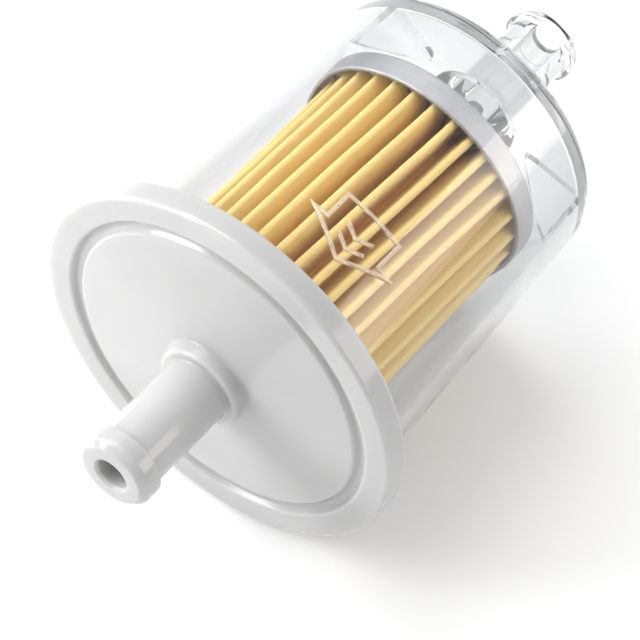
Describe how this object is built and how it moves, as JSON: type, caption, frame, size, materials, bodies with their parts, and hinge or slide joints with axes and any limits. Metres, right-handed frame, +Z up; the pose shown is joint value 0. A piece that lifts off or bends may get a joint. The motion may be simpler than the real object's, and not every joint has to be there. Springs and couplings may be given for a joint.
{
  "type": "inline fuel filter",
  "caption": "Clear inline fuel filter with a pleated paper element, a flanged white end cap and a beaded hose spigot at each end.",
  "frame": {"origin": "on the filter's axis, halfway between the two hose ends", "axes": "+X along the axis the way the fuel flows, from the clear bowl's inlet spigot to the white cap's outlet spigot; +Z up as the filter lies on its side"},
  "size_m": [0.087, 0.0508, 0.0508],
  "materials": {
    "clear_plastic": "clear, glossy",
    "white_nylon": "white, satin gloss, slightly translucent",
    "filter_paper": "resin-treated golden filter paper",
    "core_plastic": "natural moulded plastic",
    "plated_steel": "satin tin plate",
    "potting_adhesive": "cured off-white potting",
    "nitrile_rubber": "matt black",
    "seam_glue": "amber hot-melt"
  },
  "bodies": {
    "root": {"bowl": "clear_plastic", "end_cap": "white_nylon", "pleated_paper": "filter_paper", "support_core": "core_plastic", "blind_end_plate": "plated_steel", "open_end_plate": "plated_steel", "blind_end_adhesive": "potting_adhesive", "open_end_adhesive": "potting_adhesive", "element_seal": "nitrile_rubber", "seam_adhesive": "seam_glue"}
  },
  "joints": []
}
